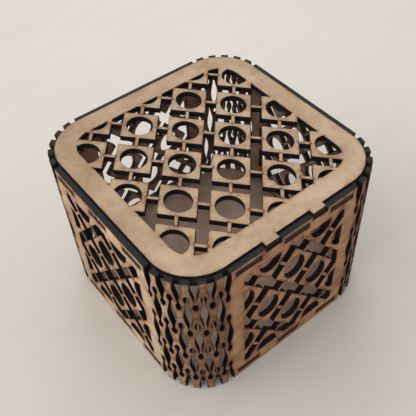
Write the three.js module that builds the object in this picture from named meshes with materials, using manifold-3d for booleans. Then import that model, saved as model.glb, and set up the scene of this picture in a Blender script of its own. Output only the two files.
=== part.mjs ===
// A square keepsake box of thin board, pressed together from four flat pieces. One long strip
// makes all the walls: its rows of slits let it bend round the corners, and its two ends meet in
// the middle of the left face. A base plate and a ledge frame hold the strip in shape with tabs
// through its slots. The lid lies loose on the ledge, with two tabs in notches of the front wall.
// Lid and faces are pierced with a cane pattern.
import * as THREE from "three";
import { mergeVertices } from "three/addons/utils/BufferGeometryUtils.js";
import Module from "manifold-3d";

const wasm = await Module();
wasm.setup();

// Sizes in millimetres. The origin is the middle of the underside, +Z is up, and the front wall
// looks along -Y.
const width = 126; // outside, along X
const depth = 126; // outside, along Y
const wallHeight = 91.5;
const board = 3; // thickness of every piece
const cornerRadius = 26; // outside of each bent corner

// Base plate and ledge frame, with their tabs and the wall's slots.
const plateGap = 0.2; // plate to wall, and tab to slot
const tabWidth = 14;
const tabInset = 2.5; // from an outer slot to the start of the bend
const baseRise = 2.7; // from the wall's lower edge up to the base plate
const ledgeDrop = 2.3; // from the wall's upper edge down to the ledge frame
const ledgeWidth = 8;

// Lid, its tabs and the wall's notches.
const lidGap = 0.3; // round the lid and under it
const lidBorder = 10.9; // from the lid's edge to its window
const lidWindowRadius = 12;
const lidTabInset = 2.75; // from a ledge tab to a lid tab, along the wall
const lidTabRecess = 0.6; // from the wall's outside back to the tab's end
const notchGap = 0.5; // each side of a lid tab

// Windows in the walls.
const windowRail = 9.75; // above and below a window
const windowStile = 7; // from a window to the bend
const windowRadius = 1.5;
const seamGap = 0.3; // between the ends of the strip

// Cane pattern: rhombic tiles with a round hole, joined by a bridge in the middle of each side.
// The last three sizes are shares of the distance from tile to tile.
const caneAcross = 15.34; // half of a tile's pitch sideways
const caneUp = 17.83; // half of a tile's pitch upwards
const tileShare = 0.77;
const bridgeShare = 0.083;
const holeShare = 0.572;

// Slits of a bent corner: columns side by side, every second one set half a pitch lower.
const slitColumns = 11;
const slitRows = 2; // slits above each other in the shifted columns
const slitBridge = 10.6; // board between two slits of a column
const edgeLeaf = 3.75; // from the strip's edge to the middle of the slit that it cuts
const leafWidth = 4.1;
const neckWidth = 0.9;
const bulbWidth = 2.5;
const bulbLength = 4.6; // from a slit's end to its neck
const leafFlat = 6; // where a slit is as wide as its leaf

const overcut = 1; // how far a cutter passes the board on each side
const holePoints = 12; // of a cane hole
const arcSegments = 8; // of a rounded plate corner

const woodMaterial = (color) =>
  new THREE.MeshStandardMaterial({ color, roughness: 0.8, metalness: 0 });

// ---- solids ----

function extrude(shapes, thickness) {
  const options = { depth: thickness, bevelEnabled: false, curveSegments: arcSegments };
  const bare = new THREE.ExtrudeGeometry(shapes, options);
  bare.deleteAttribute("normal");
  bare.deleteAttribute("uv");
  const merged = mergeVertices(bare, 1e-4);
  const vertProperties = merged.attributes.position.array;
  const triVerts = new Uint32Array(merged.index.array);
  return new wasm.Manifold(new wasm.Mesh({ numProp: 3, vertProperties, triVerts }));
}

// A cutter that passes right through the board, for shapes in the board's plane.
function cutter(shapes) {
  return extrude(shapes, board + 2 * overcut).translate([0, 0, -overcut]);
}

function toMesh(name, solid, material, place = (point) => point) {
  const { vertProperties, triVerts, numProp } = solid.getMesh();
  const position = new Float32Array((vertProperties.length / numProp) * 3);
  const point = new THREE.Vector3();
  for (let i = 0; i < position.length / 3; i++) {
    point.fromArray(vertProperties, i * numProp);
    place(point).toArray(position, i * 3);
  }
  const geometry = new THREE.BufferGeometry();
  geometry.setAttribute("position", new THREE.BufferAttribute(position, 3));
  geometry.setIndex(new THREE.BufferAttribute(triVerts, 1));
  geometry.computeVertexNormals();
  const mesh = new THREE.Mesh(geometry, material);
  mesh.name = name;
  return mesh;
}

// ---- outlines ----

function rectangle(x, y, w, h) {
  const corners = [[-1, -1], [1, -1], [1, 1], [-1, 1]];
  return new THREE.Shape(
    corners.map(([i, j]) => new THREE.Vector2(x + (i * w) / 2, y + (j * h) / 2)),
  );
}

function roundedRectangle(x, y, w, h, radius) {
  const shape = new THREE.Shape();
  const corners = [[1, 1], [-1, 1], [-1, -1], [1, -1]];
  corners.forEach(([i, j], quarter) => {
    const from = (quarter * Math.PI) / 2;
    const cx = x + i * (w / 2 - radius);
    const cy = y + j * (h / 2 - radius);
    shape.absarc(cx, cy, radius, from, from + Math.PI / 2, false);
  });
  return shape;
}

// The cane openings over an area centred at x, y: holes and crosses in turn, as on a chessboard.
function caneShapes(x, y, w, h) {
  const tilePoint = (column, row, a, b) =>
    new THREE.Vector2(x + caneAcross * (column + a - b), y + caneUp * (row + a + b));
  const holeRadius = holeShare / 2;
  const arm = (1 - bridgeShare) / 2;
  const slot = (1 - tileShare) / 2;
  const shapes = [];
  const columns = Math.ceil(w / 2 / caneAcross) + 1;
  const rows = Math.ceil(h / 2 / caneUp) + 1;
  for (let column = -columns; column <= columns; column++) {
    for (let row = -rows; row <= rows; row++) {
      const points = [];
      if ((column + row) % 2 !== 0) {
        for (let i = 0; i < holePoints; i++) {
          const turn = (2 * Math.PI * i) / holePoints;
          const [a, b] = [holeRadius * Math.cos(turn), holeRadius * Math.sin(turn)];
          points.push(tilePoint(column, row, a, b));
        }
      } else {
        for (let quarter = 0; quarter < 4; quarter++) {
          const [c, s] = [[1, 0], [0, 1], [-1, 0], [0, -1]][quarter];
          for (const [p, q] of [[arm, -slot], [arm, slot], [slot, slot]])
            points.push(tilePoint(column, row, c * p - s * q, s * p + c * q));
        }
      }
      shapes.push(new THREE.Shape(points));
    }
  }
  return shapes;
}

// The cane openings cut off at a window's outline.
function caneWindow(x, y, w, h, radius) {
  return cutter(caneShapes(x, y, w, h)).intersect(cutter(roundedRectangle(x, y, w, h, radius)));
}

// A slit along Y: a bulb at each end, a narrow neck next to it and a long leaf in the middle.
function slitShape(x, y, length) {
  const half = length / 2;
  const quarter = [
    [0, half],
    [bulbWidth / 2, half - bulbWidth / 2],
    [neckWidth / 2, half - bulbLength],
    [leafWidth / 2, leafFlat / 2],
  ];
  const right = [...quarter, ...quarter.slice(1).toReversed().map(([w, v]) => [w, -v])];
  const left = right.map(([w, v]) => [-w, -v]);
  const outline = [...right, ...left].reverse();
  return new THREE.Shape(outline.map(([w, v]) => new THREE.Vector2(x + w, y + v)));
}

// ---- the wall strip: x runs along it, y is up and z goes through the board, outside last ----

const flatX = width - 2 * cornerRadius; // straight part of the front and rear walls
const flatY = depth - 2 * cornerRadius; // straight part of the side walls
const bend = (Math.PI / 2) * cornerRadius;
const stripLength = 2 * (flatX + flatY) + 4 * bend;

// Middle of each face along the strip, from the seam round to the seam again.
const cornerStep = (along, across) => (along + across) / 2 + bend;
const faces = [
  { middle: 0, flat: flatY },
  { middle: cornerStep(flatY, flatX), flat: flatX, isFront: true },
  { middle: 2 * cornerStep(flatY, flatX), flat: flatY },
  { middle: 3 * cornerStep(flatY, flatX), flat: flatX },
  { middle: stripLength, flat: flatY },
];

const tabPitch = (flat) => (flat - tabWidth) / 2 - tabInset;
const tabPlaces = (flat) => [-tabPitch(flat), 0, tabPitch(flat)];
const lidTabPlaces = [-tabPitch(flatX) / 2, tabPitch(flatX) / 2];
const lidTabWidth = tabPitch(flatX) - tabWidth - 2 * lidTabInset;
const ledgeBottom = wallHeight - ledgeDrop - board;

function slotShapes({ middle, flat }) {
  const rise = [baseRise, ledgeBottom].map((z) => z + board / 2);
  return rise.flatMap((z) =>
    tabPlaces(flat).map((place) =>
      rectangle(middle + place, z, tabWidth + 2 * plateGap, board + 2 * plateGap),
    ),
  );
}

function notchShapes({ middle }) {
  const height = ledgeDrop + overcut;
  return lidTabPlaces.map((place) =>
    rectangle(middle + place, wallHeight - ledgeDrop + height / 2, lidTabWidth + 2 * notchGap, height),
  );
}

function cornerShapes(middle) {
  const columnPitch = (bend - leafWidth) / (slitColumns - 1);
  const rowPitch = (wallHeight - 2 * edgeLeaf) / slitRows;
  const length = rowPitch - slitBridge;
  const shapes = [];
  for (let column = 0; column < slitColumns; column++) {
    const isShifted = column % 2 === 1;
    const x = middle + (column - (slitColumns - 1) / 2) * columnPitch;
    const first = edgeLeaf + (isShifted ? rowPitch / 2 : 0);
    const count = isShifted ? slitRows : slitRows + 1;
    for (let row = 0; row < count; row++) shapes.push(slitShape(x, first + row * rowPitch, length));
  }
  return shapes;
}

function wallStrip() {
  const span = stripLength - seamGap;
  let strip = extrude(rectangle(stripLength / 2, wallHeight / 2, span, wallHeight), board);
  const openings = faces.flatMap(slotShapes);
  openings.push(...faces.filter((face) => face.isFront).flatMap(notchShapes));
  for (const face of faces.slice(0, 4))
    openings.push(...cornerShapes(face.middle + (face.flat + bend) / 2));
  strip = strip.subtract(cutter(openings));
  for (const { middle, flat } of faces) {
    const [w, h] = [flat - 2 * windowStile, wallHeight - 2 * windowRail];
    strip = strip.subtract(caneWindow(middle, wallHeight / 2, w, h, windowRadius));
  }
  return strip;
}

// Lays a point of the flat strip round the box, from the middle of the left face to the front.
function roundTheBox(point) {
  const place = new THREE.Vector2(-width / 2, 0);
  const heading = new THREE.Vector2(0, -1);
  const inward = new THREE.Vector2(1, 0);
  const origin = new THREE.Vector2();
  let left = point.x;
  for (const straight of [flatY / 2, flatX, flatY, flatX, flatY / 2]) {
    const along = Math.min(left, straight);
    place.addScaledVector(heading, along);
    left -= along;
    const angle = Math.min(left, bend) / cornerRadius;
    place.rotateAround(place.clone().addScaledVector(inward, cornerRadius), angle);
    heading.rotateAround(origin, angle);
    inward.rotateAround(origin, angle);
    left -= angle * cornerRadius;
  }
  place.addScaledVector(inward, board - point.z);
  return new THREE.Vector3(place.x, place.y, point.y);
}

// ---- the flat pieces ----

const insideX = width - 2 * board;
const insideY = depth - 2 * board;
const insideRadius = cornerRadius - board;

// A plate that fills the walls, with three tabs on each side that end flush with the outside.
function tabbedPlate() {
  const [w, h] = [insideX - 2 * plateGap, insideY - 2 * plateGap];
  let plate = extrude(roundedRectangle(0, 0, w, h, insideRadius - plateGap), board);
  const cross = [
    ...tabPlaces(flatX).map((x) => rectangle(x, 0, tabWidth, depth)),
    ...tabPlaces(flatY).map((y) => rectangle(0, y, width, tabWidth)),
  ];
  for (const strip of cross) plate = plate.add(extrude(strip, board));
  return plate;
}

function ledgeFrame() {
  const [w, h] = [insideX - 2 * ledgeWidth, insideY - 2 * ledgeWidth];
  return tabbedPlate().subtract(
    cutter(roundedRectangle(0, 0, w, h, insideRadius - ledgeWidth)),
  );
}

function lidPlate() {
  const [w, h] = [insideX - 2 * lidGap, insideY - 2 * lidGap];
  const reach = depth / 2 - lidTabRecess;
  let lid = extrude(roundedRectangle(0, 0, w, h, insideRadius - lidGap), board);
  for (const x of lidTabPlaces)
    lid = lid.add(extrude(rectangle(x, -reach / 2, lidTabWidth, reach), board));
  const [windowX, windowY] = [w - 2 * lidBorder, h - 2 * lidBorder];
  return lid.subtract(caneWindow(0, 0, windowX, windowY, lidWindowRadius));
}

// ---- the box ----

const box = new THREE.Group();
box.name = "box";

box.add(toMesh("wall_band", wallStrip(), woodMaterial(0xb58f68), roundTheBox));

const basePlate = toMesh("base_plate", tabbedPlate(), woodMaterial(0x8d7660));
basePlate.position.z = baseRise;
box.add(basePlate);

const ledge = toMesh("ledge_frame", ledgeFrame(), woodMaterial(0x9c7c5c));
ledge.position.z = ledgeBottom;
box.add(ledge);

const lid = toMesh("lid", lidPlate(), woodMaterial(0xc5ad8c));
lid.position.z = wallHeight - ledgeDrop + lidGap;
box.add(lid);

export default box;
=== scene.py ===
"""A square keepsake box of thin laser-cut fibreboard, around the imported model.

Four pieces replace the four CAD nodes: the wall strip with its slit corners, the base plate, the
ledge frame and the loose lid. Each is cut from a flat board: its outline and openings are
triangulated in the plane, given a thickness with finely broken edges, and laid in place. The
strip is bent round the box in the same way as the real one. Board sizes are in millimetres, and
everything in Blender is in metres.
"""
import math

import bpy
import numpy as np
from mathutils import Matrix, Vector, kdtree
from mathutils.geometry import delaunay_2d_cdt


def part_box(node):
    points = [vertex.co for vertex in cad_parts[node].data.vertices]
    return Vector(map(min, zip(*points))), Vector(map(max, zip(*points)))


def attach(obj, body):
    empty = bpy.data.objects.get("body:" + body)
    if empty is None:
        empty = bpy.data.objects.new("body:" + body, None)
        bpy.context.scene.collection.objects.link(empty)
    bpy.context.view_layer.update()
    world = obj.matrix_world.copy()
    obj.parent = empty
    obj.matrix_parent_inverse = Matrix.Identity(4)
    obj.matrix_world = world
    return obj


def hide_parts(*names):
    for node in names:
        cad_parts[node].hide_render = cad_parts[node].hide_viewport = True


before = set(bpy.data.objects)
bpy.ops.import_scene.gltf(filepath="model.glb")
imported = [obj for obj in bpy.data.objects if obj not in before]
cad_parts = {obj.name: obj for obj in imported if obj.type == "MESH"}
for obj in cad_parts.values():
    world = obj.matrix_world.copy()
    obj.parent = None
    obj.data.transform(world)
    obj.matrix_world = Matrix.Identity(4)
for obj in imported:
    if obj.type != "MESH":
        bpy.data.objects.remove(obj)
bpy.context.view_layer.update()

MM = 0.001

# ---- sizes in millimetres, from the frame where it has them ----


def size_of(node):
    """The CAD node's width, depth and height in millimetres."""
    low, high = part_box(node)
    return [round((high[i] - low[i]) / MM, 3) for i in range(3)]


WIDTH, DEPTH, WALL_HEIGHT = size_of("wall_band")
BOARD = size_of("base_plate")[2]
BASE_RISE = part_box("base_plate")[0].z / MM
LEDGE_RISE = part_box("ledge_frame")[0].z / MM
LID_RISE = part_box("lid")[0].z / MM
LID_WIDTH = size_of("lid")[0]
LID_REACH = -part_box("lid")[0].y / MM  # from the box's middle to the ends of the lid's tabs

CORNER_RADIUS = 26.0  # outside of a bent corner
SEAM_GAP = 0.25
PLATE_GAP = 0.15  # plate to wall
SLOT_GAP = 0.08  # tab to slot
TAB_WIDTH = 14.0
TAB_INSET = 2.5  # from an outer slot to the start of the bend
TAB_RECESS = 0.12  # from the wall's outside back to a tab's end
TAB_ROOT = 2.0  # how far a tab's outline runs into its board
LEDGE_WIDTH = 8.0
NOTCH_GAP = 0.5  # lid tab to notch
NOTCH_OVERCUT = 1.0  # how far a notch's outline runs past the wall's rim
LID_TAB_WIDTH = 8.0
LID_BORDER = 10.9
LID_WINDOW_RADIUS = 12.0
WINDOW_RAIL = 9.75  # board above and below a wall's window
WINDOW_STILE = 7.0  # board beside it, up to the bend
WINDOW_RADIUS = 1.2

# Cane pattern: half of a tile's pitch sideways and upwards, then shares of that pitch.
CANE_ACROSS = 15.34
CANE_UP = 17.83
TILE_SHARE = 0.77
BRIDGE_SHARE = 0.083
HOLE_SHARE = 0.572
HOLE_SIDES = 48

# Slits of a bent corner.
SLIT_COLUMNS = 11
SLIT_ROWS = 2
SLIT_BRIDGE = 10.6  # board between two slits of a column
EDGE_LEAF = 3.75  # from the strip's edge to the middle of the slit that it cuts
LEAF_WIDTH = 4.1
NECK_WIDTH = 0.85
BULB_WIDTH = 2.5
BULB_LENGTH = 4.8
NECK_LENGTH = 0.9  # from a bulb to the leaf between the two
BULB_TURNS = (0, 22, 45, 67, 90, 110, 130, 148)  # degrees round a bulb, from its end to its neck
LEAF_STEPS = 9
LEAF_SWELL = 1.5  # how sharply a leaf narrows towards its necks

# The boards' meshes.
EDGE_BREAK = 0.12  # chamfer that the cut leaves along every edge
MITRE_FLOOR = 0.6  # keeps the chamfer of a very sharp corner short
POINT_STEP = 2.0  # spacing of points in a board's face
POINT_SHAKE = 0.1  # how far they are moved off their grid, as a share of it
EDGE_STEP = 1.25  # longest side along an outline
CURVE_STEP = 0.65  # the same where it is curved
RING_GAP = 0.45  # from an outline to the row of points that follows it
RING_CLEAR = 0.85 * RING_GAP  # the row's points are no nearer to any cut
RING_APART = EDGE_STEP / 2  # and no nearer to each other
GRID_CLEAR = 0.5 * POINT_STEP  # the same for the grid's points
GRID_APART = 0.55 * POINT_STEP
SAME_POINT = 1e-4  # points closer than this are one
LEAST_TWICE_AREA = 1e-7  # a triangle is dropped if twice its area is less
SMOOTH_TURN = math.radians(32)  # faces that meet at less are shaded as one

# Traces of the cutting heat.
SCORCH_REACH = 1.7  # how far the heat of a cut spreads in the board
HEAT_CELL = 0.5  # the map of the heat has square cells of this size
TRACE_STEP = 0.3  # spacing of the spots that stand for a cut
SHARP_TURN = math.radians(35)  # from here on an outline's turn is a corner, where a cut burns more

FLAT_X = WIDTH - 2 * CORNER_RADIUS
FLAT_Y = DEPTH - 2 * CORNER_RADIUS
BEND = math.pi / 2 * CORNER_RADIUS
STRIP = 2 * (FLAT_X + FLAT_Y) + 4 * BEND

# Middles and lengths of the flat sides along the strip: left, front, right, back and left again,
# where the seam halves the left one. Then the middles of the slit bends between them.
SIDE_PITCH = (FLAT_X + FLAT_Y) / 2 + BEND
SIDE_MIDDLES = (0, SIDE_PITCH, 2 * SIDE_PITCH, 3 * SIDE_PITCH, STRIP)
SIDES = list(zip(SIDE_MIDDLES, (FLAT_Y, FLAT_X, FLAT_Y, FLAT_X, FLAT_Y)))
BENDS = [middle + (flat + BEND) / 2 for middle, flat in SIDES[:-1]]


# ---- outlines: lists of (x, y) points, counterclockwise ----


def rectangle(x, y, w, h):
    """Its middle is at x, y."""
    return [(x + i * w / 2, y + j * h / 2) for i, j in ((-1, -1), (1, -1), (1, 1), (-1, 1))]


def rounded_rectangle(x, y, w, h, radius):
    """The same with round corners."""
    steps = max(4, math.ceil(math.pi / 2 * radius / CURVE_STEP))
    points = []
    for quarter, (i, j) in enumerate(((1, 1), (-1, 1), (-1, -1), (1, -1))):
        for k in range(steps + 1):
            turn = (quarter + k / steps) * math.pi / 2
            cx, cy = x + i * (w / 2 - radius), y + j * (h / 2 - radius)
            points.append((cx + radius * math.cos(turn), cy + radius * math.sin(turn)))
    return points


def cane_openings(x, y, w, h):
    """Holes and crosses in turn over an area, as on a chessboard."""

    def at(column, row, a, b):
        return x + CANE_ACROSS * (column + a - b), y + CANE_UP * (row + a + b)

    hole = HOLE_SHARE / 2
    arm = (1 - BRIDGE_SHARE) / 2
    slot = (1 - TILE_SHARE) / 2
    turns = [2 * math.pi * k / HOLE_SIDES for k in range(HOLE_SIDES)]
    quarters = ((1, 0), (0, 1), (-1, 0), (0, -1))
    arm_points = ((arm, -slot), (arm, slot), (slot, slot))
    round_hole = [(hole * math.cos(t), hole * math.sin(t)) for t in turns]
    cross = [(c * p - s * q, s * p + c * q) for c, s in quarters for p, q in arm_points]
    columns = math.ceil(w / 2 / CANE_ACROSS) + 1
    rows = math.ceil(h / 2 / CANE_UP) + 1
    found = []
    for column in range(-columns, columns + 1):
        for row in range(-rows, rows + 1):
            shape = round_hole if (column + row) % 2 else cross
            found.append([at(column, row, a, b) for a, b in shape])
    return found


def slit(x, y, length):
    """A slit along Y: an oval bulb at each end, with a neck between it and the long leaf."""
    half = length / 2
    wide, tall = BULB_WIDTH / 2, BULB_LENGTH / 2
    neck = NECK_WIDTH / 2
    bulb_turns = [math.radians(t) for t in BULB_TURNS]
    right = [(wide * math.sin(t), half - tall * (1 - math.cos(t))) for t in bulb_turns]
    right.append((neck, half - BULB_LENGTH))
    leaf_end = half - BULB_LENGTH - NECK_LENGTH
    for k in range(LEAF_STEPS + 1):
        rise = math.sin(k / LEAF_STEPS * math.pi / 2) ** LEAF_SWELL
        right.append((neck + (LEAF_WIDTH / 2 - neck) * rise, leaf_end * (1 - k / LEAF_STEPS)))
    right += [(w, -v) for w, v in reversed(right[1:-1])]
    left = [(-w, -v) for w, v in right]
    return [(x + w, y + v) for w, v in reversed([*right, (0, -half), *left[1:]])]


def tab_places(flat):
    """Middles of the three tabs along a flat side of this length."""
    pitch = (flat - TAB_WIDTH) / 2 - TAB_INSET
    return [-pitch, 0, pitch]


def lid_tab_places():
    """Middles of the lid's two tabs, from the middle of the front."""
    return [tab_places(FLAT_X)[0] / 2, tab_places(FLAT_X)[2] / 2]


# ---- from outlines to a board ----


def resampled(points, step):
    """The outline with no side longer than step."""
    out = []
    for a, b in zip(points, points[1:] + points[:1]):
        parts = max(1, math.ceil(math.dist(a, b) / step - 1e-6))
        out += [tuple(p + (q - p) * k / parts for p, q in zip(a, b)) for k in range(parts)]
    return out


def tree_of(points):
    """A search tree of flat points."""
    tree = kdtree.KDTree(len(points))
    for i, (x, y) in enumerate(points):
        tree.insert((x, y, 0), i)
    tree.balance()
    return tree


def inner_points(outlines, shapes, seed):
    """Points that mesh a board's face finely: a row along every edge, and a grid between."""
    edge = tree_of([p for shape in shapes for p in resampled(shape, RING_GAP / 2)])
    taken = {}

    def try_point(x, y, from_edge, apart):
        column, row = int(x // POINT_STEP), int(y // POINT_STEP)
        near = [p for i in (-1, 0, 1) for j in (-1, 0, 1) for p in taken.get((column + i, row + j), ())]
        if edge.find((x, y, 0))[2] > from_edge and all(math.dist(p, (x, y)) > apart for p in near):
            taken.setdefault((column, row), []).append((x, y))

    for shape in shapes:
        for a, b in zip(shape, shape[1:] + shape[:1]):
            length = math.dist(a, b)
            across = (a[1] - b[1]) / length * RING_GAP, (b[0] - a[0]) / length * RING_GAP
            x, y = (a[0] + b[0]) / 2, (a[1] + b[1]) / 2
            for side in (1, -1):
                try_point(x + side * across[0], y + side * across[1], RING_CLEAR, RING_APART)
    corners = np.array([p for outline in outlines for p in outline])
    low, high = corners.min(0), corners.max(0)
    random = np.random.default_rng(seed)
    row_step = POINT_STEP * math.sqrt(3) / 2
    for row in range(int((high[1] - low[1]) / row_step) + 1):
        for column in range(int((high[0] - low[0]) / POINT_STEP) + 1):
            shake = random.uniform(-POINT_SHAKE, POINT_SHAKE, 2) * POINT_STEP
            x = low[0] + (column + 0.5 * (row % 2)) * POINT_STEP + shake[0]
            y = low[1] + row * row_step + shake[1]
            try_point(x, y, GRID_CLEAR, GRID_APART)
    return [p for cell in taken.values() for p in cell]


def triangulated(outlines, openings, windows, seed):
    """Points and triangles of the board: inside any outline, outside every opening. An opening
    comes with the number of the window that cuts it off, or None."""
    shapes = [resampled(s, EDGE_STEP) for s in [*outlines, *windows, *(s for s, _ in openings)]]
    points = [p for shape in shapes for p in shape]
    first_window = len(outlines)
    first_opening = first_window + len(windows)

    def on_board(inside):
        cuts = [openings[i - first_opening][1] for i in inside if i >= first_opening]
        cut = any(window is None or first_window + window in inside for window in cuts)
        return any(i < first_window for i in inside) and not cut

    faces, start = [], 0
    for shape in shapes:
        faces.append(list(range(start, start + len(shape))))
        start += len(shape)
    points += inner_points(outlines, shapes, seed)
    flat = [Vector(p) for p in points]
    made, _, triangles, _, _, origin = delaunay_2d_cdt(flat, [], faces, 1, SAME_POINT, True)
    kept = [triangle for triangle, inside in zip(triangles, origin) if on_board(set(inside))]
    used = np.unique(np.array(kept))
    renumber = {old: new for new, old in enumerate(used)}
    flat_points = np.array([made[i][:] for i in used], float)
    flat_triangles = np.array([[renumber[i] for i in t] for t in kept])
    a, b, c = (flat_points[flat_triangles[:, i]] for i in range(3))
    twice_area = np.cross(b - a, c - a)
    flat_triangles[twice_area < 0] = flat_triangles[twice_area < 0][:, ::-1]
    return flat_points, flat_triangles[np.abs(twice_area) > LEAST_TWICE_AREA]


def board_edges(triangles):
    """The triangles' outer sides, each with the board on its left."""
    sides = np.concatenate([triangles[:, [0, 1]], triangles[:, [1, 2]], triangles[:, [2, 0]]])
    count = {}
    for a, b in sides.tolist():
        count[(a, b)] = count.get((a, b), 0) + 1
    return np.array([side for side in count if (side[1], side[0]) not in count])


def distances(spots, at):
    """How far it is from each place to the nearest spot."""
    tree = tree_of([tuple(spot) for spot in spots])
    return np.array([tree.find((x, y, 0))[2] for x, y in at])


def cut_spots(ends):
    """Spots that stand for the cuts, evenly along them."""
    spots = []
    for a, b in ends:
        parts = max(1, math.ceil(math.dist(a, b) / TRACE_STEP))
        spots += [a + (b - a) * k / parts for k in range(parts)]
    return np.array(spots)


def turns_of(points, edges):
    """How far the outline turns at each point that is on one."""
    ends = points[edges]
    angle = np.arctan2(*(ends[:, 1] - ends[:, 0]).T[::-1])
    before, after = np.zeros((2, len(points)))
    before[edges[:, 1]] = angle
    after[edges[:, 0]] = angle
    return np.abs((after - before + math.pi) % (2 * math.pi) - math.pi)


def crowding_of(spots, total, at):
    """How crowded the cuts are near each place, in millimetres of cut per mm2: the cuts, of this
    total length, are blurred over a map of square cells."""
    margin = 4 * SCORCH_REACH
    low = spots.min(0) - margin
    crowd = np.zeros(np.ceil((spots.max(0) + margin - low) / HEAT_CELL).astype(int) + 1)
    np.add.at(crowd, tuple(((spots - low) / HEAT_CELL).astype(int).T), 1 / len(spots))
    reach = np.arange(-3 * SCORCH_REACH, 3 * SCORCH_REACH + HEAT_CELL, HEAT_CELL)
    kernel = np.exp(-((reach / SCORCH_REACH) ** 2) / 2)
    kernel /= kernel.sum() * HEAT_CELL
    for axis in (0, 1):
        crowd = np.apply_along_axis(np.convolve, axis, crowd, kernel, mode="same")
    place = (at - low) / HEAT_CELL - 0.5
    cell = place.astype(int)
    share = place - cell
    heat = np.zeros(len(at))
    for i in (0, 1):
        for j in (0, 1):
            weight = np.abs(1 - i - share[:, 0]) * np.abs(1 - j - share[:, 1])
            heat += weight * crowd[cell[:, 0] + i, cell[:, 1] + j]
    return heat * total


def trace_cuts(mesh, points, edges, flat):
    """Gives the mesh's points what the materials need: the flat place, the distances to the
    nearest cut and to the nearest sharp corner of one, and how crowded the cuts are."""
    ends = points[edges]
    spots = cut_spots(ends)
    total = np.linalg.norm(ends[:, 1] - ends[:, 0], axis=1).sum()
    corners = points[turns_of(points, edges) > SHARP_TURN]
    at = flat[:, :2]
    for label, kind, values in (
        ("flat_mm", "FLOAT_VECTOR", flat),
        ("edge_mm", "FLOAT", distances(spots, at)),
        ("corner_mm", "FLOAT", distances(corners, at)),
        ("heat", "FLOAT", crowding_of(spots, total, at)),
    ):
        attribute = mesh.attributes.new(label, kind, "POINT")
        field = "vector" if kind == "FLOAT_VECTOR" else "value"
        attribute.data.foreach_set(field, np.asarray(values, np.float32).ravel())


def with_thickness(points, triangles, edges):
    """The board's points, with z through the board, and its faces: both sides, then the cut ones.
    The sides' points on an outline move into the board by a mitre, which breaks the edge."""
    side = points[edges[:, 1]] - points[edges[:, 0]]
    normal = np.stack([-side[:, 1], side[:, 0]], 1) / np.linalg.norm(side, axis=1)[:, None]
    total = np.zeros_like(points)
    np.add.at(total, edges[:, 0], normal)
    np.add.at(total, edges[:, 1], normal)
    rim = np.unique(edges)
    length2 = np.maximum((total[rim] ** 2).sum(1), MITRE_FLOOR)
    inset = points.copy()
    inset[rim] += total[rim] * (2 * EDGE_BREAK / length2)[:, None]
    n, r = len(points), len(rim)
    flat = np.concatenate([
        np.column_stack([inset, np.full(n, BOARD)]),
        np.column_stack([inset, np.zeros(n)]),
        np.column_stack([points[rim], np.full(r, BOARD - EDGE_BREAK)]),
        np.column_stack([points[rim], np.full(r, EDGE_BREAK)]),
    ])
    ring = {old: new for new, old in enumerate(rim)}
    a = np.array([ring[i] for i in edges[:, 0]])
    b = np.array([ring[i] for i in edges[:, 1]])
    upper, lower = 2 * n, 2 * n + r
    quads = [
        np.column_stack([upper + a, upper + b, edges[:, 1], edges[:, 0]]),
        np.column_stack([lower + a, lower + b, upper + b, upper + a]),
        np.column_stack([n + edges[:, 0], n + edges[:, 1], lower + b, lower + a]),
    ]
    faces = triangles.tolist() + (n + triangles[:, ::-1]).tolist() + np.concatenate(quads).tolist()
    return flat, faces


def cut_board(name, outlines, openings, windows, lay, materials, seed):
    """A piece with these outlines and openings. lay takes flat points (x, y, z through the board)
    and gives places in the box, all in millimetres. materials are the face's and the edge's."""
    points, triangles = triangulated(outlines, openings, windows, seed)
    edges = board_edges(triangles)
    flat, faces = with_thickness(points, triangles, edges)
    mesh = bpy.data.meshes.new(name)
    mesh.from_pydata((lay(flat) * MM).tolist(), [], faces)
    for material in materials:
        mesh.materials.append(material)
    cut = np.arange(len(faces)) >= 2 * len(triangles)
    mesh.polygons.foreach_set("material_index", cut.astype(np.int32))
    trace_cuts(mesh, points, edges, flat)
    mesh.polygons.foreach_set("use_smooth", [True] * len(faces))
    mesh.set_sharp_from_angle(angle=SMOOTH_TURN)
    mesh.validate()
    mesh.update()
    piece = bpy.data.objects.new(name, mesh)
    bpy.context.scene.collection.objects.link(piece)
    return piece


# ---- the pieces ----


def wall_piece(materials):
    """The flat strip: tab slots and a cane window in each side, lid notches, and slit bends."""
    outlines = [rectangle(STRIP / 2, WALL_HEIGHT / 2, STRIP - SEAM_GAP, WALL_HEIGHT)]
    openings, windows = [], []
    for number, (middle, flat) in enumerate(SIDES):
        openings += [(slot, None) for slot in tab_slots(middle, flat)]
        w, h = flat - 2 * WINDOW_STILE, WALL_HEIGHT - 2 * WINDOW_RAIL
        windows.append(rounded_rectangle(middle, WALL_HEIGHT / 2, w, h, WINDOW_RADIUS))
        openings += [(shape, number) for shape in cane_openings(middle, WALL_HEIGHT / 2, w, h)]
    openings += [(notch, None) for notch in lid_notches(SIDES[1][0])]
    openings += [(shape, None) for middle in BENDS for shape in bend_slits(middle)]
    return cut_board("wall_strip", outlines, openings, windows, round_the_box, materials, seed=1)


def tab_slots(middle, flat):
    """Slots for the tabs of the base and the ledge in one side of the strip."""
    size = (TAB_WIDTH + 2 * SLOT_GAP, BOARD + 2 * SLOT_GAP)
    rises = (BASE_RISE, LEDGE_RISE)
    return [rectangle(middle + x, y + BOARD / 2, *size) for y in rises for x in tab_places(flat)]


def lid_notches(middle):
    """Notches in the front's rim, down to the top of the ledge, for the lid's tabs."""
    floor = LEDGE_RISE + BOARD
    width, height = LID_TAB_WIDTH + 2 * NOTCH_GAP, WALL_HEIGHT - floor + NOTCH_OVERCUT
    return [rectangle(middle + x, floor + height / 2, width, height) for x in lid_tab_places()]


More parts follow.
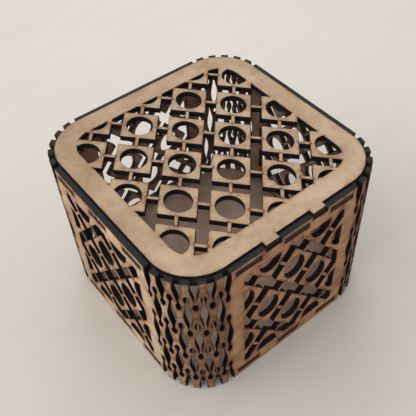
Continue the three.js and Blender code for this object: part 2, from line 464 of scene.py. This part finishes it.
def bend_slits(middle):
    """Columns of slits that let the board bend. Every other column is half a slit higher."""
    column_pitch = (BEND - LEAF_WIDTH) / (SLIT_COLUMNS - 1)
    row_pitch = (WALL_HEIGHT - 2 * EDGE_LEAF) / SLIT_ROWS
    found = []
    for column in range(SLIT_COLUMNS):
        shifted = column % 2
        x = middle + (column - (SLIT_COLUMNS - 1) / 2) * column_pitch
        for row in range(SLIT_ROWS + 1 - shifted):
            y = EDGE_LEAF + (row + shifted / 2) * row_pitch
            found.append(slit(x, y, row_pitch - SLIT_BRIDGE))
    return found


def round_the_box(flat):
    """Bends the flat strip round the box, from the seam in the left face to the front."""
    left = flat[:, 0].copy()
    place = np.tile([-WIDTH / 2, 0.0], (len(flat), 1))
    angle = np.full(len(flat), -math.pi / 2)
    for straight in (FLAT_Y / 2, FLAT_X, FLAT_Y, FLAT_X, FLAT_Y / 2):
        along = np.minimum(left, straight)
        heading = np.column_stack([np.cos(angle), np.sin(angle)])
        place += heading * along[:, None]
        left -= along
        turn = np.minimum(left, BEND) / CORNER_RADIUS
        inward = np.column_stack([-heading[:, 1], heading[:, 0]])
        centre = place + inward * CORNER_RADIUS
        angle += turn
        inward = np.column_stack([-np.sin(angle), np.cos(angle)])
        place = centre - inward * CORNER_RADIUS
        left -= turn * CORNER_RADIUS
    inward = np.column_stack([-np.sin(angle), np.cos(angle)])
    place += inward * (BOARD - flat[:, 2])[:, None]
    return np.column_stack([place, flat[:, 1]])


def laid_at(rise):
    """A board that lies flat, with its underside this high."""
    return lambda flat: flat + np.array([0, 0, rise])


def tabbed_outlines():
    """Outlines of the base and the ledge: a plate inside the wall, and its tabs."""
    w, h = WIDTH - 2 * BOARD - 2 * PLATE_GAP, DEPTH - 2 * BOARD - 2 * PLATE_GAP
    radius = CORNER_RADIUS - BOARD - PLATE_GAP
    outlines = [rounded_rectangle(0, 0, w, h, radius)]
    reach = BOARD + TAB_ROOT
    for end in (-1, 1):
        for x in tab_places(FLAT_X):
            y = end * (DEPTH / 2 - TAB_RECESS - reach / 2)
            outlines.append(rectangle(x, y, TAB_WIDTH, reach))
        for y in tab_places(FLAT_Y):
            x = end * (WIDTH / 2 - TAB_RECESS - reach / 2)
            outlines.append(rectangle(x, y, reach, TAB_WIDTH))
    return outlines


def base_piece(materials):
    """The plate near the bottom, without openings."""
    return cut_board("base_board", tabbed_outlines(), [], [], laid_at(BASE_RISE), materials, seed=2)


def ledge_piece(materials):
    """The frame that the lid rests on: the same outline with a wide mouth."""
    w, h = (side - 2 * BOARD - 2 * LEDGE_WIDTH for side in (WIDTH, DEPTH))
    mouth = rounded_rectangle(0, 0, w, h, CORNER_RADIUS - BOARD - LEDGE_WIDTH)
    lay = laid_at(LEDGE_RISE)
    return cut_board("ledge_board", tabbed_outlines(), [(mouth, None)], [], lay, materials, seed=3)


def lid_piece(materials):
    """The lid: two tabs at its front and one cane window."""
    gap = (WIDTH - 2 * BOARD - LID_WIDTH) / 2
    depth = DEPTH - 2 * BOARD - 2 * gap
    outlines = [rounded_rectangle(0, 0, LID_WIDTH, depth, CORNER_RADIUS - BOARD - gap)]
    tab = LID_REACH - depth / 2 + TAB_ROOT
    for x in lid_tab_places():
        outlines.append(rectangle(x, -LID_REACH + tab / 2, LID_TAB_WIDTH, tab))
    w, h = LID_WIDTH - 2 * LID_BORDER, depth - 2 * LID_BORDER
    windows = [rounded_rectangle(0, 0, w, h, LID_WINDOW_RADIUS)]
    openings = [(shape, 0) for shape in cane_openings(0, 0, w, h)]
    return cut_board("lid_board", outlines, openings, windows, laid_at(LID_RISE), materials, seed=4)


# ---- materials ----


class Nodes:
    """A short way to write a material's nodes."""

    def __init__(self, name):
        self.material = bpy.data.materials.new(name)
        self.material.use_nodes = True
        self.tree = self.material.node_tree
        self.shader = self.tree.nodes["Principled BSDF"]

    def add(self, kind, inputs=None, **settings):
        node = self.tree.nodes.new(kind)
        for key, value in settings.items():
            setattr(node, key, value)
        for key, value in (inputs or {}).items():
            self.set(node.inputs[key], value)
        return node

    def set(self, socket, value):
        """Links the socket to another one, or gives it a value."""
        if isinstance(value, bpy.types.NodeSocket):
            self.tree.links.new(value, socket)
        else:
            socket.default_value = value

    def attribute(self, name, output):
        return self.add("ShaderNodeAttribute", attribute_name=name).outputs[output]

    def axis(self, place, name):
        return self.add("ShaderNodeSeparateXYZ", {0: place}).outputs[name]

    def math(self, operation, a, b=0.0, clamp=False):
        node = self.add("ShaderNodeMath", operation=operation, use_clamp=clamp)
        self.set(node.inputs[0], a)
        self.set(node.inputs[1], b)
        return node.outputs[0]

    def spread(self, value, low, high, to_low=0.0, to_high=1.0):
        """value's range low to high, eased and taken to another range."""
        node = self.add("ShaderNodeMapRange", interpolation_type="SMOOTHSTEP")
        ends = {"From Min": low, "From Max": high, "To Min": to_low, "To Max": to_high}
        for key, number in ends.items():
            node.inputs[key].default_value = number
        self.set(node.inputs["Value"], value)
        return node.outputs["Result"]

    def noise(self, place, scale, stretch=(1, 1, 1), turn=0.0, detail=3.0, rough=0.55):
        """Cloudy noise around 0.5. stretch scales the place, and turn then rotates it, in degrees."""
        mapping = self.add("ShaderNodeMapping", {"Vector": place})
        mapping.inputs["Rotation"].default_value = (0, 0, math.radians(turn))
        mapping.inputs["Scale"].default_value = stretch
        node = self.add("ShaderNodeTexNoise", {"Vector": mapping.outputs[0]})
        node.inputs["Scale"].default_value = scale
        node.inputs["Detail"].default_value = detail
        node.inputs["Roughness"].default_value = rough
        return node.outputs["Fac"]

    def mix(self, share, a, b, blend="MIX"):
        """Colour a with this share of colour b blended in. Each is a socket or a linear colour."""
        node = self.add("ShaderNodeMix", data_type="RGBA", blend_type=blend)
        self.set(node.inputs["Factor"], share)
        for key, value in (("A", a), ("B", b)):
            socket = next(s for s in node.inputs if s.name == key and s.type == "RGBA")
            self.set(socket, (*value, 1) if isinstance(value, tuple) else value)
        return next(s for s in node.outputs if s.type == "RGBA")

    def finished(self, colour, roughness, specular, relief, strength, distance):
        """The material, with these on its shader. relief is a height for the bump."""
        self.set(self.shader.inputs["Base Color"], colour)
        self.set(self.shader.inputs["Roughness"], roughness)
        self.shader.inputs["Specular IOR Level"].default_value = specular
        bump = self.add("ShaderNodeBump", {"Height": relief, "Strength": strength, "Distance": distance})
        self.set(self.shader.inputs["Normal"], bump.outputs[0])
        return self.material


def srgb(r, g, b):
    """Linear colour of an sRGB one from 0 to 255."""
    return tuple((c / 255 / 12.92) if c <= 10 else ((c / 255 + 0.055) / 1.055) ** 2.4 for c in (r, g, b))


# Tints that multiply a board's own colour, then colours that cover it.
SMUDGE_TINT = srgb(196, 168, 148)
BROWN_TINT = srgb(217, 178, 150)
SCORCH_TINT = srgb(155, 148, 156)
BURNT_BROWN = srgb(96, 58, 40)
# Black of the line at each cut, partly painted shade.
CHAR_AND_SHADE_BLACK = srgb(46, 30, 26)
SPECK = srgb(96, 66, 48)
COAL = srgb(26, 23, 26)
BROWN_COAL = srgb(44, 34, 31)


def outer_side(n, flat, to_low=0.0, to_high=1.0):
    """to_high on the wall's outside and on the plates' tops, to_low on the other side."""
    return n.spread(n.axis(flat, "Z"), 0.5, 1.5, to_low, to_high)


def raw_colour(n, place, fibres, grain, light, dark, smudging):
    """The board before it was cut: mottled, with darker fibres, paler grains and smudges."""
    clouds = n.noise(place, 0.045, detail=4)
    mottle = n.noise(place, 0.3, detail=5, rough=0.65)
    smudge = n.noise(place, 0.085, detail=4, rough=0.6)
    tone = n.math("ADD", n.spread(clouds, 0.35, 0.65, 0.0, 0.75), n.spread(mottle, 0.32, 0.7, 0.0, 0.25))
    dark_fibre = tuple(c * 0.62 for c in dark)
    pale_grain = tuple(min(1, c * 1.25) for c in light)
    colour = n.mix(tone, dark, light)
    colour = n.mix(n.spread(fibres, 0.16, 0.34, 0.14, 0.0), colour, dark_fibre)
    colour = n.mix(n.spread(grain, 0.45, 0.8, 0.0, 0.1), colour, pale_grain)
    return n.mix(n.spread(smudge, 0.4, 0.66, 0.0, smudging), colour, SMUDGE_TINT, "MULTIPLY")


def browned(n, colour, flat, place, patch, crowding, scorching):
    """A soft brown band along each cut, patches at its corners, and more in a crowd of cuts."""
    smoke = n.noise(place, 0.2, detail=4, rough=0.6)
    band = n.spread(n.attribute("edge_mm", "Fac"), 0.1, 2.6, 0.5 * scorching, 0.0)
    band = n.math("MULTIPLY", band, n.spread(smoke, 0.38, 0.66, 0.1, 1.0))
    corner = n.spread(n.attribute("corner_mm", "Fac"), 0.1, 2.4, 0.8 * scorching, 0.0)
    corner = n.math("MULTIPLY", corner, n.spread(patch, 0.38, 0.62, 0.1, 1.0))
    crowd = n.spread(n.attribute("heat", "Fac"), 0.22, 0.55, 0.0, crowding)
    crowd = n.math("MULTIPLY", crowd, n.spread(patch, 0.25, 0.7, 0.6, 1.0))
    crowd = n.math("MULTIPLY", crowd, outer_side(n, flat, 0.4, 1.0))
    scorch = n.math("ADD", n.math("MAXIMUM", band, corner), crowd, clamp=True)
    colour = n.mix(n.spread(scorch, 0.0, 0.6), colour, BROWN_TINT, "MULTIPLY")
    return n.mix(n.spread(scorch, 0.25, 1.15), colour, SCORCH_TINT, "MULTIPLY")


def char_and_painted_shade_line(n, colour, patch):
    """A thin dark line right at each cut, of uneven width: partly char, partly painted shade along each
    cut.
    """
    edge = n.attribute("edge_mm", "Fac")
    reach = n.math("ADD", edge, n.spread(patch, 0.3, 0.7, 0.06, -0.06))
    colour = n.mix(n.spread(reach, 0.1, 0.6, 0.55, 0.0), colour, BURNT_BROWN)
    # The black inner line is partly painted shade.
    return n.mix(n.spread(edge, 0.12, 0.3, 0.8, 0.0), colour, CHAR_AND_SHADE_BLACK)


def specked(n, colour, place):
    """A few dark specks in the board."""
    cells = n.add("ShaderNodeTexVoronoi", {"Vector": place, "Scale": 0.16})
    chance = n.add("ShaderNodeSeparateColor", {0: cells.outputs["Color"]}).outputs[0]
    size = n.spread(chance, 0.72, 1.0, 0.0, 0.085)
    speck = n.math("LESS_THAN", cells.outputs["Distance"], size)
    return n.mix(n.math("MULTIPLY", speck, 0.5), colour, SPECK)


def board_face(name, light, dark, shift, crowding, scorching, smudging, stains_and_painted_shade=None):
    """Raw fibreboard, browned where the cuts heated it. crowding says how much where cuts crowd
    together, scorching how much along each cut, and smudging how blotchy the rest is. shift, in
    millimetres, gives each board its own noise. The last argument gives wide stains, and painted
    shade, as pairs of a share and a tint, from the nodes and the flat place."""
    n = Nodes(name)
    flat = n.attribute("flat_mm", "Vector")
    place = n.add("ShaderNodeVectorMath", {0: flat, 1: shift}, operation="ADD").outputs[0]
    fibre_a = n.noise(place, 1.8, stretch=(1, 0.14, 1), turn=32, detail=4, rough=0.7)
    fibre_b = n.noise(place, 1.8, stretch=(0.14, 1, 1), turn=-21, detail=4, rough=0.7)
    fibres = n.math("MULTIPLY", fibre_a, fibre_b)
    grain = n.noise(place, 5.0, detail=2)
    patch = n.noise(place, 0.8, detail=3)
    colour = raw_colour(n, place, fibres, grain, light, dark, smudging)
    # Wide stains and painted shade, multiplied over the raw colour.
    for share, tint in stains_and_painted_shade(n, flat) if stains_and_painted_shade else ():
        colour = n.mix(n.math("MAXIMUM", share, 0.0, clamp=True), colour, tint, "MULTIPLY")
    colour = browned(n, colour, flat, place, patch, crowding, scorching)
    colour = char_and_painted_shade_line(n, colour, patch)
    colour = specked(n, colour, place)
    roughness = n.spread(fibres, 0.1, 0.4, 0.6, 0.78)
    relief = n.math("ADD", n.math("MULTIPLY", fibres, 0.8), n.math("MULTIPLY", grain, 0.35))
    return n.finished(colour, roughness, specular=0.35, relief=relief, strength=0.35, distance=0.00012)


def strip_smoke_and_painted_shade(n, flat):
    """The strip is palest on the left face. From its front corner on it is browner, partly from scorch
    and partly as painted shade on the faces turned from the light. Lower down it is darker, as painted
    shade near the floor, and the rear of the left face gets a little painted shade. Its slit bends are
    the darkest, from smoke, and its inside is darker and a little cooler."""
    along, up = n.axis(flat, "X"), n.axis(flat, "Y")
    first, last = BENDS[0], BENDS[-1]
    # Partly scorch, partly painted shade: browner from the front corner on, on the faces turned from the
    # light, and less so on the rear of the left face.
    toast_and_painted_shade = n.spread(along, first - 12, first + 6, 0.1, 0.8)
    toast_and_painted_shade = n.math("SUBTRACT", toast_and_painted_shade, n.spread(along, last - 60, last, 0.0, 0.55))
    toast_and_painted_shade = n.math("MULTIPLY", toast_and_painted_shade, outer_side(n, flat))
    # Smoke at the slit bends. The first term is painted shade towards the rear of the left face. All of
    # it thins towards the top and bottom edges.
    soot = n.spread(along, last - 20, last + 5, 0.0, 0.08)
    for middle, darkness in zip(BENDS, (0.62, 0.62, 0.62, 0.15)):
        off = n.math("ABSOLUTE", n.math("SUBTRACT", along, middle))
        bend = n.spread(off, BEND / 2 - 3, BEND / 2 + 1, 1.0, 0.0)
        soot = n.math("ADD", n.math("MULTIPLY", bend, darkness), soot)
    soot = n.math("MULTIPLY", soot, n.spread(along, first - 24, first + 8, 0.15, 1.0))
    from_middle = n.math("ABSOLUTE", n.math("SUBTRACT", up, WALL_HEIGHT / 2))
    soot = n.math("MULTIPLY", soot, n.spread(from_middle, WALL_HEIGHT / 4, WALL_HEIGHT / 2, 1.0, 0.72))
    return (
        (toast_and_painted_shade, srgb(206, 166, 136)),
        # Painted shade: darker lower down, towards the floor.
        (n.spread(up, 5, 60, 0.5, 0.0), srgb(228, 224, 220)),
        (soot, srgb(152, 140, 134)),
        # Darker and a little cooler on the inside of the strip.
        (outer_side(n, flat, 1.0, 0.0), srgb(214, 207, 218)),
    )


def lid_painted_shade(n, flat):
    """Painted shade: the lid is palest in front and is drawn a little darker towards its rear left
    corner and its right.
    """
    across, back = n.axis(flat, "X"), n.axis(flat, "Y")
    return (
        # Painted shade towards the rear left corner, then towards the right.
        (n.spread(n.math("SUBTRACT", back, across), -20, 110, 0.0, 0.75), srgb(222, 216, 208)),
        (n.spread(across, 10, 55, 0.0, 0.6), srgb(236, 228, 224)),
    )


def rim_painted_light(n, flat):
    """1 at the wall's rim, which is drawn paler as painted light on the upward-facing top, and 0 below
    it.
    """
    return n.spread(n.axis(flat, "Y"), WALL_HEIGHT - 4, WALL_HEIGHT - 0.2)


def tab_ends(n, flat):
    """1 at the outer ends of a plate's tabs, and 0 elsewhere on its edges."""
    reach_x = n.math("SUBTRACT", n.math("ABSOLUTE", n.axis(flat, "X")), WIDTH / 2)
    reach_y = n.math("SUBTRACT", n.math("ABSOLUTE", n.axis(flat, "Y")), DEPTH / 2)
    return n.spread(n.math("MAXIMUM", reach_x, reach_y), -1.5, -0.5)


def charred_edge(name, paler_char, paler_brown_char, where_paler):
    """A laser-cut edge: charcoal, faintly ribbed through the board, and browner in places. It is
    drawn paler where the last argument, from the nodes and the flat place, gives 1; on the wall's
    rim this paler char is painted light for the rim that faces up."""
    n = Nodes(name)
    flat = n.attribute("flat_mm", "Vector")
    ribs = n.noise(flat, 2.6, stretch=(1, 1, 0.08), detail=3, rough=0.7)
    soot = n.noise(flat, 0.5, detail=4)
    fine = n.noise(flat, 7.0, detail=2)
    share = n.math("MULTIPLY", n.spread(ribs, 0.4, 0.75), n.spread(soot, 0.35, 0.7, 0.2, 1.0))
    cut = n.mix(share, COAL, BROWN_COAL)
    # Paler char where the last argument gives 1; on the wall's rim this is painted light.
    colour = n.mix(where_paler(n, flat), cut, n.mix(share, paler_char, paler_brown_char))
    colour = n.mix(n.spread(fine, 0.5, 0.85, 0.0, 0.35), colour, tuple(c * 1.8 for c in COAL))
    relief = n.math("ADD", ribs, n.math("MULTIPLY", fine, 0.3))
    roughness = n.spread(soot, 0.3, 0.7, 0.5, 0.72)
    return n.finished(colour, roughness, specular=0.12, relief=relief, strength=0.5, distance=0.0002)


def floor_material():
    """A pale, nearly even table top."""
    n = Nodes("pale_floor")
    place = n.add("ShaderNodeTexCoord").outputs["Object"]
    wide = n.noise(place, 2.2, detail=3)
    fine = n.noise(place, 60.0, stretch=(0.25, 1, 1), turn=14, detail=4)
    colour = n.mix(n.spread(wide, 0.3, 0.7), srgb(214, 208, 199), srgb(206, 200, 190))
    colour = n.mix(n.spread(fine, 0.4, 0.8, 0.0, 0.25), colour, srgb(198, 190, 178))
    return n.finished(colour, roughness=0.55, specular=0.5, relief=fine, strength=0.15, distance=0.0004)


# ---- camera, light and floor, in metres ----

CAMERA_PLACE = Vector((-0.1310, -0.1834, 0.3031))
CAMERA_LOOK = Vector((0.4000, 0.5227, -0.7529))  # the way it looks
CAMERA_ROLL = math.radians(-2.15)
CAMERA_LENS = 55.34
CAMERA_SENSOR = 36
CAMERA_SHIFT = (-0.0423, 0.0124)
CAMERA_CLIP = (0.01, 50)
LIT_MIDDLE = Vector((0, 0, 0.04))  # the lights point here
KEY_PLACE = Vector((-2.3, 0.6, 1.8))
BACK_PLACE = Vector((0.9, 1.4, 1.1))
SKY_COLOUR = (0.97, 0.97, 0.98, 1)
SKY_STRENGTH = 0.76
FLOOR_SIDE = 40.0


def turned_to(look):
    """The turn of a camera or a light that looks this way."""
    return look.to_track_quat("-Z", "Y").to_matrix().to_4x4()


def make_camera():
    """The photo's camera."""
    data = bpy.data.cameras.new("camera")
    data.sensor_width = CAMERA_SENSOR
    data.lens = CAMERA_LENS
    data.shift_x, data.shift_y = CAMERA_SHIFT
    data.clip_start, data.clip_end = CAMERA_CLIP
    camera = bpy.data.objects.new("camera", data)
    rolled = turned_to(CAMERA_LOOK) @ Matrix.Rotation(CAMERA_ROLL, 4, "Z")
    camera.matrix_world = Matrix.Translation(CAMERA_PLACE) @ rolled
    bpy.context.scene.collection.objects.link(camera)
    bpy.context.scene.camera = camera


def area_light(name, place, size, watts, colour):
    """A round area light that points at the box."""
    data = bpy.data.lights.new(name, "AREA")
    data.shape = "DISK"
    data.size = size
    data.energy = watts
    data.color = colour
    light = bpy.data.objects.new(name, data)
    light.matrix_world = Matrix.Translation(place) @ turned_to(LIT_MIDDLE - place)
    bpy.context.scene.collection.objects.link(light)


def make_light():
    """A wide key light from the left, a smaller one from behind, and a pale sky all round."""
    area_light("key", KEY_PLACE, size=4.2, watts=52.0, colour=(1.0, 0.98, 0.96))
    area_light("back", BACK_PLACE, size=1.4, watts=9.0, colour=(1.0, 0.98, 0.95))
    world = bpy.data.worlds.new("studio")
    world.use_nodes = True
    sky = world.node_tree.nodes["Background"]
    sky.inputs["Color"].default_value = SKY_COLOUR
    sky.inputs["Strength"].default_value = SKY_STRENGTH
    bpy.context.scene.world = world
    bpy.context.scene.view_settings.view_transform = "Standard"


def make_floor():
    """A table top that reaches nearly to the horizon, so that the light from it is even."""
    mesh = bpy.data.meshes.new("floor")
    corners = [(x, y, 0) for x, y in rectangle(0, 0, FLOOR_SIDE, FLOOR_SIDE)]
    mesh.from_pydata(corners, [], [(0, 1, 2, 3)])
    mesh.materials.append(floor_material())
    floor = bpy.data.objects.new("floor", mesh)
    bpy.context.scene.collection.objects.link(floor)


# ---- the scene ----

make_camera()
make_light()
make_floor()

# The paler charcoal here is painted light on the wall's upward-facing rim.
edge = charred_edge("charred_edge", srgb(41, 40, 41), srgb(51, 50, 51), rim_painted_light)
tab_edge = charred_edge("charred_tab_edge", srgb(41, 30, 30), srgb(67, 47, 41), tab_ends)
lid_face = board_face(
    "lid_face", light=srgb(203, 179, 150), dark=srgb(180, 154, 123), shift=(0, 0, 0),
    crowding=0.42, scorching=0.75, smudging=0.42, stains_and_painted_shade=lid_painted_shade,
)
wall_face = board_face(
    "wall_face", light=srgb(218, 194, 163), dark=srgb(190, 163, 131), shift=(300, 70, 20),
    crowding=0.22, scorching=1.2, smudging=0.65, stains_and_painted_shade=strip_smoke_and_painted_shade,
)
base_face = board_face(
    "base_face", light=srgb(188, 164, 146), dark=srgb(166, 140, 124), shift=(-120, 240, 50),
    crowding=0.5, scorching=1.0, smudging=0.3,
)
ledge_face = board_face(
    "ledge_face", light=srgb(182, 154, 124), dark=srgb(158, 128, 98), shift=(90, -310, 80),
    crowding=0.5, scorching=1.0, smudging=0.3,
)

for piece, body, node, slot in (
    (wall_piece([wall_face, edge]), "box", "wall_band", "wall_board"),
    (base_piece([base_face, tab_edge]), "box", "base_plate", "base_board"),
    (ledge_piece([ledge_face, tab_edge]), "box", "ledge_frame", "ledge_board"),
    (lid_piece([lid_face, edge]), "lid", "lid", "lid_board"),
):
    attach(piece, body)
    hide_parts(node)
